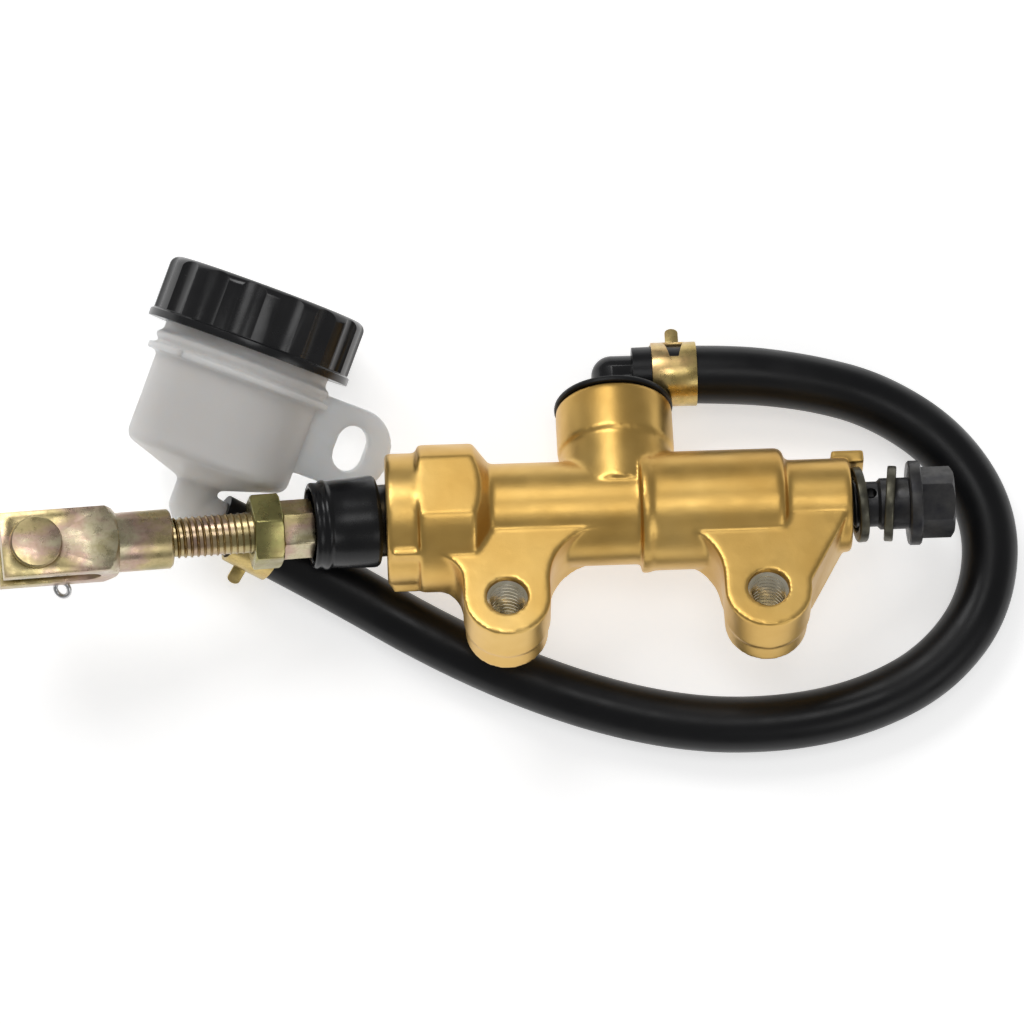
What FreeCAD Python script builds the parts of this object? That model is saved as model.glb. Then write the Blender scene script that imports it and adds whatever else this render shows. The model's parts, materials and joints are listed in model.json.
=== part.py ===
import FreeCAD, Part
import Sketcher
import math
import os
from types import SimpleNamespace

# Rear brake master cylinder with a remote reservoir, lying on a bench.
# Row frame: +X along the bore towards the outlet, +Z up from the bench, millimetres.
# Cylinder frame: x along the bore, y towards the inlet boss, z along the mounting holes,
# origin on the bore's axis midway between the mounting holes.

doc = FreeCAD.newDocument("rear_brake_master_cylinder")
sheet = doc.addObject("Spreadsheet::Sheet", "Sizes")


class Size:
    """A number together with the sheet expression that gives it."""

    def __init__(self, number, text=None):
        self.number = number
        self.text = text if text else repr(number)

    def joined(self, other, sign, number):
        other = as_size(other)
        return Size(number, f"({self.text} {sign} {other.text})")

    def __add__(self, other):
        return self.joined(other, "+", self.number + as_size(other).number)

    def __sub__(self, other):
        return self.joined(other, "-", self.number - as_size(other).number)

    def __mul__(self, other):
        return self.joined(other, "*", self.number * as_size(other).number)

    def __truediv__(self, other):
        return self.joined(other, "/", self.number / as_size(other).number)

    def __neg__(self):
        return Size(-self.number, f"(-1 * {self.text})")


def as_size(value):
    return value if isinstance(value, Size) else Size(float(value))


def fill_sheet(rows):
    """Writes one cell per row and gives the sizes back by name."""
    sizes = {}
    for line, (alias, number, note) in enumerate(rows, 1):
        sheet.set(f"A{line}", alias)
        sheet.set(f"B{line}", str(number))
        sheet.set(f"C{line}", note)
        sheet.setAlias(f"B{line}", alias)
        sizes[alias] = Size(float(number), f"Sizes.{alias}")
    return SimpleNamespace(**sizes)


d = fill_sheet([
    ("axis_x", 30.36, "middle of the mounting holes along the row's x"),
    ("axis_y", -11.27, "bore axis along the row's y"),
    ("axis_height", 19.9, "bore axis above the bench"),
    ("roll_angle", 20, "cylinder rolled about its bore, boss side down, degrees"),
    ("mouth_x", -47.6, "open end of the collar"),
    ("collar_r", 12.8, "collar radius"),
    ("collar_width", 6.2, "collar length along the bore"),
    ("block_r", 14.3, "raised block radius"),
    ("block_end_x", -30.6, "end of the raised block"),
    ("block_flat", 12.8, "half distance over the block's two flats"),
    ("barrel_x", -27.4, "start of the plain barrel"),
    ("barrel_r", 10.2, "plain barrel radius"),
    ("rib_x", 1.6, "start of the parting rib"),
    ("rib_width", 1.8, "parting rib width"),
    ("rib_r", 11.9, "parting rib radius"),
    ("front_r", 11.5, "front barrel radius"),
    ("front_end_x", 28.0, "end of the front barrel"),
    ("nose_x", 30.0, "start of the nose"),
    ("nose_r", 9.15, "nose radius"),
    ("face_x", 42.4, "outlet face"),
    ("edge_r", 0.8, "cast edge rounding"),
    ("web_half", 7.3, "half thickness of the mounting web"),
    ("lug_x", 25.0, "mounting hole from the middle, 50 mm spacing"),
    ("lug_y", -21.8, "mounting hole below the bore axis"),
    ("lug_r", 8.4, "mounting lug radius"),
    ("lug_hole_r", 3.4, "M8 tapped hole wall radius"),
    ("arch_y", -7.2, "top of the arch"),
    ("arch_r", 11.0, "arch corner radius"),
    ("web_left_y", -12.1, "straight lower edge of the web"),
    ("web_corner_r", 6.0, "corner between that edge and the first lug"),
    ("boss_x", -2.4, "inlet boss axis"),
    ("boss_r", 11.4, "inlet boss rim radius"),
    ("boss_step_y", 13.0, "step below the boss rim"),
    ("boss_top_y", 23.1, "boss face"),
    ("recess_r", 7.0, "inlet recess radius"),
    ("recess_y", 9.2, "inlet recess floor"),
    ("bore_r", 6.35, "bore radius, 12.7 mm bore"),
    ("bore_start_x", -40.4, "step between the mouth and the bore"),
    ("bore_end_x", 27.6, "bottom of the bore"),
    ("mouth_r", 7.5, "mouth radius that takes the boot"),
    ("ring_groove_x", -42.4, "circlip groove centre"),
    ("ring_groove_r", 8.2, "circlip groove radius"),
    ("port_r", 4.6, "M10 x 1.25 outlet thread wall radius"),
    ("port_depth", 12.0, "outlet thread depth"),
    ("ball_x", -37.2, "push rod ball centre"),
    ("ball_r", 5.3, "push rod ball radius"),
    ("rod_lean_side", 4.0, "push rod lean away from the boss side, degrees"),
    ("rod_lean_up", 8.5, "push rod lean away from the bench, degrees"),
    ("rod_r", 3.4, "push rod plain shank radius"),
    ("hex_x", -68.5, "far end of the push rod hexagon"),
    ("hex_width", 6.2, "push rod hexagon length"),
    ("hex_flats", 10.0, "push rod hexagon across flats"),
    ("thread_r", 3.95, "M8 x 1.25 rod radius"),
    ("rod_end_x", -103.5, "threaded end of the push rod"),
    ("nut_x", -74.2, "lock nut outer face"),
    ("nut_width", 5.6, "lock nut thickness"),
    ("nut_flats", 13.0, "lock nut across flats"),
    ("nut_twist", 14.5, "lock nut turned from the mounting hole axis, degrees"),
    ("clevis_end_x", -122.9, "open end of the clevis"),
    ("clevis_side", 12.5, "clevis square section"),
    ("clevis_square_end_x", -100.4, "end of the square section"),
    ("clevis_neck_r", 5.75, "clevis neck radius"),
    ("clevis_neck_end_x", -89.8, "clevis neck face"),
    ("clevis_slot", 5.8, "clevis slot width"),
    ("clevis_slot_end_x", -103.9, "bottom of the clevis slot"),
    ("clevis_twist", 19.0, "pin axis turned from the mounting hole axis, degrees"),
    ("pin_x", -116.4, "clevis pin axis"),
    ("pin_r", 4.0, "clevis pin shank radius"),
    ("pin_head_r", 4.95, "clevis pin head radius"),
    ("pin_head_height", 1.3, "clevis pin head height"),
    ("boot_lip_x", -62.5, "boot's open lip"),
    ("boot_lip_r", 8.3, "boot radius at the lip"),
    ("boot_foot_r", 8.9, "boot radius at the collar"),
    ("hose_r", 5.5, "hose outer radius"),
    ("hose_bore_r", 4.0, "hose inner radius"),
    ("elbow_y", 31.0, "elbow outlet axis from the bore axis"),
    ("elbow_r", 3.97, "elbow tube radius"),
    ("elbow_bore_r", 2.3, "elbow passage radius"),
    ("elbow_end_x", 12.5, "end of the elbow's barbed outlet"),
    ("clamp_wall", 0.8, "spring clamp strip thickness"),
    ("clamp_width", 8.8, "spring clamp width"),
    ("cap_r", 20.0, "reservoir cap radius"),
    ("cap_height", 12.5, "reservoir cap height"),
    ("tank_r", 16.5, "reservoir body radius"),
    ("tank_x", -43.04, "cap edge centre along the row's x"),
    ("tank_y", 23.13, "cap edge centre along the row's y"),
    ("tank_height", 20.222, "cap edge centre above the bench"),
    ("tank_yaw", 22.4, "reservoir axis turned from the row's y, degrees"),
    ("tank_tilt", 9.44, "reservoir axis above the bench, degrees"),
    ("tank_roll", 20.0, "reservoir rolled about its axis, ear towards the bench, degrees"),
    ("tank_bottom", -22.6, "end of the reservoir's straight wall"),
    ("tank_tip", -29.0, "tip of the reservoir's cone"),
    ("neck_r", 16.7, "reservoir neck radius"),
    ("neck_top", 8.0, "top of the reservoir neck"),
    ("ear_x", 26.1, "mounting ear hole from the reservoir axis"),
    ("ear_y", -11.0, "mounting ear hole below the cap's edge"),
    ("ear_r", 7.25, "mounting ear end radius"),
    ("ear_half", 1.5, "half thickness of the mounting ear"),
    ("ear_slot_r", 3.15, "half width of the ear's slot"),
    ("ear_slot_half", 1.4, "half distance between the slot's arc centres"),
    ("nipple_r", 3.97, "reservoir outlet nipple radius"),
    ("nipple_y", -32.4, "start of the nipple on the reservoir axis"),
    ("nipple_length", 19.0, "reservoir outlet nipple length"),
    ("nipple_drop", 7.0, "nipple direction below the reservoir's square, degrees"),
    ("nipple_lower", -3.0, "nipple direction out of the ear's plane, degrees"),
    ("clamp_on_nipple", 15.0, "reservoir clamp centre along the nipple"),
    ("clamp_turn", 200.0, "reservoir clamp turned about the nipple, degrees"),
    ("clamp_on_elbow", 9.8, "inlet clamp centre along the bore"),
    ("washer_r", 7.35, "banjo washer outer radius"),
    ("washer_bore_r", 5.3, "banjo washer inner radius"),
    ("washer_width", 1.8, "banjo washer thickness"),
    ("banjo_shank_r", 5.0, "banjo bolt shank radius"),
    ("banjo_neck_r", 4.4, "banjo bolt drilled neck radius"),
    ("banjo_thread_r", 4.53, "banjo bolt engaged thread radius"),
    ("flange_x", 53.6, "banjo bolt flange face"),
    ("flange_r", 8.2, "banjo bolt flange radius"),
    ("head_flats", 12.0, "banjo bolt head across flats"),
    ("bolt_end_x", 62.4, "banjo bolt head face"),
])
doc.recompute()


# ---------------------------------------------------------------- placements

def direction(*parts):
    return FreeCAD.Vector(*parts).normalize()


X_AXIS = FreeCAD.Vector(1, 0, 0)
Y_AXIS = FreeCAD.Vector(0, 1, 0)
Z_AXIS = FreeCAD.Vector(0, 0, 1)

cylinder_frame = FreeCAD.Placement(
    FreeCAD.Vector(d.axis_x.number, d.axis_y.number, d.axis_height.number),
    FreeCAD.Rotation(X_AXIS, -d.roll_angle.number),
)
ball_centre = FreeCAD.Vector(d.ball_x.number, 0, 0)
lean_side = FreeCAD.Rotation(Z_AXIS, d.rod_lean_side.number)
lean_up = FreeCAD.Rotation(Y_AXIS, d.rod_lean_up.number)
to_row = cylinder_frame.Rotation
rod_frame = FreeCAD.Placement(
    cylinder_frame.multVec(ball_centre),
    lean_up.multiply(lean_side).multiply(to_row),
).multiply(FreeCAD.Placement(-ball_centre, FreeCAD.Rotation()))
clevis_frame = rod_frame.multiply(
    FreeCAD.Placement(FreeCAD.Vector(), FreeCAD.Rotation(X_AXIS, d.clevis_twist.number))
)


# ------------------------------------------------------------ modelling tools

def bind(item, prop, value):
    """Sets a property from a size and ties it to the sheet."""
    value = as_size(value)
    setattr(item, prop, value.number)
    if "Sizes." in value.text:
        item.setExpression(prop, value.text)


def new_body(label):
    body = doc.addObject("PartDesign::Body", label)
    body.Label = label
    return body


def origin_plane(body, role):
    return next(item for item in body.Origin.OriginFeatures if item.Role == role)


def new_sketch(body, plane="XY_Plane", shift_x=0, shift_z=0):
    """A sketch on an origin plane, shifted along its own x and along its normal."""
    sketch = body.newObject("Sketcher::SketchObject", "outline")
    sketch.AttachmentSupport = [(origin_plane(body, plane), "")]
    sketch.MapMode = "FlatFace"
    shifts = {"x": as_size(shift_x), "z": as_size(shift_z)}
    base = FreeCAD.Vector(shifts["x"].number, 0, shifts["z"].number)
    sketch.AttachmentOffset = FreeCAD.Placement(base, FreeCAD.Rotation())
    for way, value in shifts.items():
        if "Sizes." in value.text:
            sketch.setExpression(f"AttachmentOffset.Base.{way}", value.text)
    return sketch


def pin_point(sketch, curve, end, x, y):
    """Fixes one end of a curve at two sheet sizes from the sketch's origin."""
    for kind, value in (("DistanceX", as_size(x)), ("DistanceY", as_size(y))):
        row = sketch.addConstraint(Sketcher.Constraint(kind, curve, end, value.number))
        if "Sizes." in value.text:
            sketch.setExpression(f"Constraints[{row}]", value.text)


def arc_between(start, end, radius):
    """The short arc from start to end; a positive radius turns left."""
    chord = end - start
    half = chord.Length / 2
    size = max(abs(radius), half * 1.0000001)
    left = FreeCAD.Vector(-chord.y, chord.x, 0).normalize()
    reach = math.sqrt(size * size - half * half)
    centre = (start + end) * 0.5 + left * math.copysign(reach, radius)
    first, last = (start, end) if radius > 0 else (end, start)
    angles = [math.atan2(p.y - centre.y, p.x - centre.x) for p in (first, last)]
    return Part.ArcOfCircle(Part.Circle(centre, Z_AXIS, size), angles[0], angles[1])


def draw_outline(sketch, steps):
    """Closed outline: each step is (x, y), or (x, y, radius) reached by an arc."""
    spots = [FreeCAD.Vector(as_size(s[0]).number, as_size(s[1]).number, 0) for s in steps]
    ends = []
    for index, step in enumerate(steps):
        start, end = spots[index - 1], spots[index]
        if len(step) == 3:
            radius = as_size(step[2])
            curve = sketch.addGeometry(arc_between(start, end, radius.number))
            row = sketch.addConstraint(Sketcher.Constraint("Radius", curve, abs(radius.number)))
            if "Sizes." in radius.text:
                sketch.setExpression(f"Constraints[{row}]", f"abs({radius.text})")
            ends.append((curve, 1, 2) if radius.number > 0 else (curve, 2, 1))
        else:
            ends.append((sketch.addGeometry(Part.LineSegment(start, end)), 1, 2))
    for index, (curve, first, last) in enumerate(ends):
        before, _, before_last = ends[index - 1]
        sketch.addConstraint(Sketcher.Constraint("Coincident", curve, first, before, before_last))
        pin_point(sketch, curve, last, steps[index][0], steps[index][1])


def draw_circle(sketch, x, y, radius):
    centre = FreeCAD.Vector(as_size(x).number, as_size(y).number, 0)
    curve = sketch.addGeometry(Part.Circle(centre, Z_AXIS, as_size(radius).number))
    pin_point(sketch, curve, 3, x, y)
    row = sketch.addConstraint(Sketcher.Constraint("Radius", curve, as_size(radius).number))
    if "Sizes." in as_size(radius).text:
        sketch.setExpression(f"Constraints[{row}]", as_size(radius).text)


def add_feature(body, kind, sketch):
    feature = body.newObject(f"PartDesign::{kind}", kind.lower())
    feature.Profile = sketch
    sketch.Visibility = False
    body.Tip = feature
    return feature


def turned(body, steps, axis="H_Axis", cut=False, plane="XY_Plane", shift_x=0, angle=360):
    """Turns an outline about one of its sketch's axes, to add or to cut."""
    sketch = new_sketch(body, plane, shift_x=shift_x)
    draw_outline(sketch, steps)
    feature = add_feature(body, "Groove" if cut else "Revolution", sketch)
    feature.ReferenceAxis = (sketch, [axis])
    feature.Angle = angle
    return feature


def extruded(body, sketch, length, cut=False, both_ways=True):
    """Pads or pockets a sketch, by default half the length to each side."""
    feature = add_feature(body, "Pocket" if cut else "Pad", sketch)
    feature.SideType = "Symmetric" if both_ways else "One side"
    bind(feature, "Length", length)
    return feature


def lathe_part(label, outer, cuts=(), axis="H_Axis", shift_x=0):
    """A turned piece about a sketch axis, with turned cuts."""
    body = new_body(label)
    turned(body, outer, axis=axis, shift_x=shift_x)
    for steps in cuts:
        turned(body, steps, axis=axis, cut=True, shift_x=shift_x)
    return body


def box_steps(x_low, x_high, y_low, y_high):
    """The outline of an upright rectangle."""
    return [(x_low, y_low), (x_high, y_low), (x_high, y_high), (x_low, y_high)]


def hexagon(sketch, flats):
    """A regular hexagon about the sketch's origin, corners along its y axis."""
    corner = flats / math.sqrt(3)
    half = flats / 2
    draw_outline(sketch, [
        (half, -(corner / 2)), (half, corner / 2), (0, corner),
        (-half, corner / 2), (-half, -(corner / 2)), (0, -corner),
    ])


pieces = {}


def keep(label, item, place):
    item.Label = label
    item.Placement = place
    pieces[label] = item


# ------------------------------------------------------------- cylinder body

def build_cylinder_body():
    body = new_body("cylinder_body")
    soft = d.edge_r
    collar_end = d.mouth_x + d.collar_width
    rib_end = d.rib_x + d.rib_width
    turned(body, [
        (d.mouth_x, 0), (d.mouth_x, d.collar_r - soft), (d.mouth_x + soft, d.collar_r, -soft),
        (collar_end - 0.4, d.collar_r), (collar_end, d.collar_r - 0.4),
        (collar_end, d.block_r - soft), (collar_end + soft, d.block_r, -soft),
        (d.block_end_x, d.block_r), (d.barrel_x, d.barrel_r),
        (d.rib_x, d.barrel_r), (d.rib_x, d.rib_r), (rib_end, d.rib_r), (rib_end, d.front_r),
        (d.front_end_x, d.front_r), (d.front_end_x + 1.6, d.front_r - 1.6, -1.6),
        (d.nose_x, d.nose_r), (d.face_x - soft, d.nose_r), (d.face_x, d.nose_r - soft, -soft),
        (d.face_x, 0),
    ])
    add_mounting_web(body)
    add_inlet_boss(body)
    add_stop_tab(body)
    cut_block_flats(body, collar_end)
    cut_bore(body)
    cut_inlet(body)
    lug_holes = new_sketch(body)
    draw_circle(lug_holes, d.lug_x, d.lug_y, d.lug_hole_r)
    draw_circle(lug_holes, -d.lug_x, d.lug_y, d.lug_hole_r)
    extruded(body, lug_holes, d.web_half * 4, cut=True)
    keep("cylinder_body", body, cylinder_frame)


def add_mounting_web(body):
    """The flat web with two round lugs, an arch between them and a sloping front edge."""
    far = d.lug_x + d.lug_r
    near = d.lug_x - d.lug_r
    lug_low = d.lug_y - d.lug_r
    arch_low = d.arch_y - d.arch_r
    front_x = d.face_x - 1.4
    web = new_sketch(body)
    draw_outline(web, [
        (d.mouth_x + 0.8, 0), (d.mouth_x + 0.8, d.web_left_y),
        (-far - d.web_corner_r, d.web_left_y),
        (-far, d.web_left_y - d.web_corner_r, -d.web_corner_r), (-far, d.lug_y),
        (-d.lug_x, lug_low, d.lug_r), (-near, d.lug_y, d.lug_r), (-near, arch_low),
        (d.arch_r - near, d.arch_y, -d.arch_r), (near - d.arch_r, d.arch_y),
        (near, arch_low, -d.arch_r), (near, d.lug_y),
        (d.lug_x, lug_low, d.lug_r), (far, d.lug_y, d.lug_r), (far, d.lug_y + 1.5),
        (front_x, -6.5), (front_x, 0),
    ])
    extruded(body, web, d.web_half * 2)


def add_inlet_boss(body):
    soft = d.edge_r
    turned(body, [
        (0, 2), (d.boss_r - 0.5, 2), (d.boss_r - 0.5, d.boss_step_y), (d.boss_r, d.boss_step_y),
        (d.boss_r, d.boss_top_y - soft), (d.boss_r - soft, d.boss_top_y, soft),
        (0, d.boss_top_y),
    ], axis="V_Axis", shift_x=d.boss_x)


def add_stop_tab(body):
    tab = new_sketch(body, "YZ_Plane", shift_z=d.face_x)
    draw_outline(tab, box_steps(8.0, 10.8, -3, 3))
    extruded(body, tab, 6.4)


def cut_block_flats(body, collar_end):
    flats = new_sketch(body, "XZ_Plane")
    inner = d.block_flat
    draw_outline(flats, box_steps(collar_end, d.barrel_x, inner, inner + 3))
    draw_outline(flats, box_steps(collar_end, d.barrel_x, -inner - 3, -inner))
    extruded(body, flats, 40, cut=True)


def cut_bore(body):
    thread_start = d.face_x - d.port_depth
    turned(body, [
        (d.mouth_x - 1, 0), (d.mouth_x - 1, d.mouth_r), (d.bore_start_x, d.mouth_r),
        (d.bore_start_x, d.bore_r), (d.bore_end_x, d.bore_r), (d.bore_end_x + 0.8, 1.6),
        (thread_start - 0.6, 1.6), (thread_start, d.port_r), (d.face_x + 1, d.port_r),
        (d.face_x + 1, 0),
    ], cut=True)
    turned(body, box_steps(d.ring_groove_x - 0.6, d.ring_groove_x + 0.6, 5, d.ring_groove_r),
           cut=True)


def cut_inlet(body):
    """The recess for the inlet elbow, and the supply and compensating ports below it."""
    turned(body, box_steps(0, d.recess_r, d.recess_y, d.boss_top_y + 1),
           axis="V_Axis", cut=True, shift_x=d.boss_x)
    turned(body, box_steps(0, 1.0, 5, d.recess_y + 0.5),
           axis="V_Axis", cut=True, shift_x=d.boss_x - 5.8)
    turned(body, box_steps(0, 0.4, 5, d.recess_y + 0.5),
           axis="V_Axis", cut=True, shift_x=d.boss_x + 1.5)


# ------------------------------------------------------------ bore internals

def build_piston():
    land = d.bore_r - 0.05
    socket = d.ball_r + 0.2
    piston = lathe_part("piston", [
        (-40.1, 0), (-40.1, land), (-32.6, land), (-32.6, 4.6), (-29.6, 4.6), (-29.6, land),
        (-27.6, land), (-27.6, 4.4), (-7.6, 4.4), (-7.6, land), (-5.4, land), (-5.4, 3.0),
        (-1.0, 3.0), (-1.0, 0),
    ], cuts=[[
        (-42, 0), (-42, socket), (d.ball_x, socket), (d.ball_x + socket, 0, -socket),
    ]])
    keep("piston", piston, cylinder_frame)


def build_seals():
    lip = d.bore_r - 0.03
    secondary = lathe_part("secondary_cup", [
        (-32.5, 4.65), (-32.5, 6.0), (-31.7, lip), (-30.6, lip), (-29.8, 5.9), (-29.8, 4.65),
    ])
    primary = lathe_part("primary_cup", [
        (-5.35, 3.05), (-5.35, 6.0), (-4.8, lip), (-2.2, lip), (-2.2, 5.7), (-3.6, 5.1),
        (-3.6, 3.05),
    ])
    keep("secondary_cup", secondary, cylinder_frame)
    keep("primary_cup", primary, cylinder_frame)


def build_spring_set():
    seat = lathe_part("spring_seat", [
        (-3.55, 3.05), (-3.55, 4.9), (-2.75, 4.9), (-2.75, 3.8), (-1.4, 3.8), (-1.4, 3.05),
    ])
    keep("spring_seat", seat, cylinder_frame)
    wire_r = 0.58
    mean_r = 4.5
    sides = 8
    start, end, turns = -2.1, d.bore_end_x.number - wire_r - 0.05, 8
    helix = Part.makeHelix((end - start) / turns, end - start, mean_r)
    corners = []
    for i in range(sides + 1):
        angle = 2 * math.pi * (i + 0.5) / sides
        corners.append(FreeCAD.Vector(
            mean_r + wire_r * math.cos(angle), 0, wire_r * math.sin(angle)))
    section = Part.makePolygon(corners)
    coil = Part.Wire(helix).makePipeShell([section], True, True)
    upright = FreeCAD.Placement(
        FreeCAD.Vector(start, 0, 0), FreeCAD.Rotation(Y_AXIS, 90))
    spring = doc.addObject("Part::Feature", "return_spring")
    spring.Shape = coil
    keep("return_spring", spring, cylinder_frame.multiply(upright))


def build_stops():
    washer = lathe_part("stop_washer", box_steps(-41.75, -40.45, 5.0, 7.4))
    keep("stop_washer", washer, cylinder_frame)
    ring = new_body("circlip")
    turned(ring, box_steps(-42.95, -41.85, 6.7, 8.15), angle=310)
    keep("circlip", ring, cylinder_frame)


# --------------------------------------------------------------- push rod set

def build_boot():
    """A plain conical cover, leaning with the push rod and clear of it."""
    boot = lathe_part("dust_boot", [
        (d.boot_lip_x, 7.2), (d.boot_lip_x, d.boot_lip_r), (-49.6, d.boot_foot_r),
        (-49.6, 7.0), (-45.4, 7.0), (-45.4, 5.9), (-50.0, 5.9), (-51.0, 7.3), (-54.4, 7.2),
        (-54.4, 5.2), (-55.8, 5.2), (-55.8, 7.2),
    ])
    foot = FreeCAD.Vector(-46, 0, 0)
    lean = cylinder_frame.Rotation.inverted().multiply(rod_frame.Rotation)
    tilt = FreeCAD.Placement(foot, lean).multiply(FreeCAD.Placement(-foot, FreeCAD.Rotation()))
    keep("dust_boot", boot, cylinder_frame.multiply(tilt))


def build_pushrod():
    rod = new_body("pushrod")
    neck = 2.4
    neck_end = d.ball_x - math.sqrt(d.ball_r.number ** 2 - neck ** 2)
    turned(rod, [
        (d.rod_end_x, 0), (d.rod_end_x, 3.2), (d.rod_end_x + 0.75, d.thread_r),
        (d.hex_x, d.thread_r), (d.hex_x, d.rod_r), (-53.5, d.rod_r), (-52.5, neck),
        (neck_end, neck), (d.ball_x + d.ball_r, 0, -d.ball_r),
    ])
    hex_sketch = new_sketch(rod, "YZ_Plane", shift_z=d.hex_x + d.hex_width / 2)
    hexagon(hex_sketch, d.hex_flats)
    extruded(rod, hex_sketch, d.hex_width)
    cut_hex_corners(rod, d.hex_x, d.hex_width, d.hex_flats)
    keep("pushrod", rod, rod_frame)


def cut_hex_corners(body, start, width, flats):
    """The turned chamfers at both faces of a hexagon."""
    face_r = flats / 2
    outside = flats * 0.75
    for face, inward in ((start, 1), (start + width, -1)):
        turned(body, [
            (face - 0.5 * inward, face_r - 0.5), (face + (outside - face_r) * (0.5 * inward), outside),
            (face - 0.5 * inward, outside),
        ], cut=True)


def build_lock_nut():
    nut = new_body("lock_nut")
    sketch = new_sketch(nut, "YZ_Plane", shift_z=d.nut_x + d.nut_width / 2)
    hexagon(sketch, d.nut_flats)
    draw_circle(sketch, 0, 0, d.thread_r + 0.07)
    extruded(nut, sketch, d.nut_width)
    cut_hex_corners(nut, d.nut_x, d.nut_width, d.nut_flats)
    twist = FreeCAD.Placement(FreeCAD.Vector(), FreeCAD.Rotation(X_AXIS, d.nut_twist.number))
    keep("lock_nut", nut, rod_frame.multiply(twist))


def build_clevis():
    clevis = new_body("clevis")
    half = d.clevis_side / 2
    length = d.clevis_square_end_x - d.clevis_end_x
    section = new_sketch(clevis, "YZ_Plane", shift_z=d.clevis_end_x + length / 2)
    draw_outline(section, box_steps(-half, half, -half, half))
    extruded(clevis, section, length)
    turned(clevis, [
        (d.clevis_square_end_x - 4, 0), (d.clevis_square_end_x - 4, d.clevis_neck_r),
        (d.clevis_neck_end_x - 0.5, d.clevis_neck_r), (d.clevis_neck_end_x, d.clevis_neck_r - 0.5),
        (d.clevis_neck_end_x, 0),
    ])
    turned(clevis, [
        (d.clevis_square_end_x - 2.6, 9.2), (d.clevis_square_end_x + 0.2, d.clevis_neck_r + 0.01),
        (d.clevis_square_end_x + 0.2, 9.2),
    ], cut=True)
    gap = d.clevis_slot / 2
    slot = new_sketch(clevis, "XZ_Plane")
    draw_outline(slot, [
        (d.clevis_end_x - 1, -gap), (d.clevis_slot_end_x - gap, -gap),
        (d.clevis_slot_end_x, 0, gap), (d.clevis_slot_end_x - gap, gap, gap),
        (d.clevis_end_x - 1, gap),
    ])
    extruded(clevis, slot, 30, cut=True)
    pin_hole = new_sketch(clevis)
    draw_circle(pin_hole, d.pin_x, 0, d.pin_r + 0.06)
    extruded(clevis, pin_hole, 30, cut=True)
    bore_r = d.thread_r + 0.07
    turned(clevis, box_steps(d.clevis_slot_end_x - 1, d.clevis_neck_end_x + 1, 0, bore_r), cut=True)
    keep("clevis", clevis, clevis_frame)


def build_clevis_pin():
    head_low = d.clevis_side / 2 + 0.05
    head_top = head_low + d.pin_head_height
    low_end = -(d.clevis_side / 2) - 3.2
    pin = new_body("clevis_pin")
    turned(pin, [
        (0, low_end), (d.pin_r - 0.5, low_end), (d.pin_r, low_end + 0.5), (d.pin_r, head_low),
        (d.pin_head_r, head_low), (d.pin_head_r, head_top - 0.3), (d.pin_head_r - 0.3, head_top),
        (0, head_top),
    ], axis="V_Axis", plane="XZ_Plane", shift_x=d.pin_x)
    cotter_z = -7.9
    across = FreeCAD.Rotation(Z_AXIS, direction(0.65, -0.76, 0))
    middle = FreeCAD.Vector(d.pin_x.number, 0, cotter_z)
    hole = pin.newObject("PartDesign::SubtractiveCylinder", "cotter_hole")
    hole.Radius, hole.Height = 0.95, 10
    hole.Placement = FreeCAD.Placement(middle, across).multiply(
        FreeCAD.Placement(FreeCAD.Vector(0, 0, -5), FreeCAD.Rotation()))
    pin.Tip = hole
    keep("clevis_pin", pin, clevis_frame)
    build_cotter_pin(FreeCAD.Placement(middle, across))


def build_cotter_pin(place):
    """A split pin: two legs together, and a round eye outside the clevis pin."""
    legs = doc.addObject("Part::Cylinder", "cotter_legs")
    legs.Radius, legs.Height = 0.8, 14
    legs.Placement.Base = FreeCAD.Vector(0, 0, -6.5)
    eye = doc.addObject("Part::Torus", "cotter_eye")
    eye.Radius1, eye.Radius2 = 1.5, 0.5
    eye.Placement = FreeCAD.Placement(
        FreeCAD.Vector(0, 0, 8.9), FreeCAD.Rotation(Y_AXIS, 90))
    cotter = doc.addObject("Part::MultiFuse", "cotter_pin")
    cotter.Shapes = [legs, eye]
    keep("cotter_pin", cotter, clevis_frame.multiply(place))


# ------------------------------------------------------------ inlet and hose

def build_grommet():
    flange_low = d.boss_top_y + 0.03
    grommet = lathe_part("inlet_grommet", [
        (4.05, 14.3), (d.recess_r - 0.05, 14.3), (d.recess_r - 0.05, flange_low),
        (d.boss_r + 0.2, flange_low), (d.boss_r + 0.2, flange_low + 0.9),
        (d.boss_r - 0.2, flange_low + 1.3), (4.05, flange_low + 1.3),
    ], axis="V_Axis", shift_x=d.boss_x)
    keep("inlet_grommet", grommet, cylinder_frame)


def tube_between(name, start, end, radius):
    tube = doc.addObject("Part::Cylinder", name)
    bind(tube, "Radius", radius)
    run = FreeCAD.Vector(*end) - FreeCAD.Vector(*start)
    tube.Height = run.Length
    tube.Placement = FreeCAD.Placement(FreeCAD.Vector(*start), FreeCAD.Rotation(Z_AXIS, run))
    return tube


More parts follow.
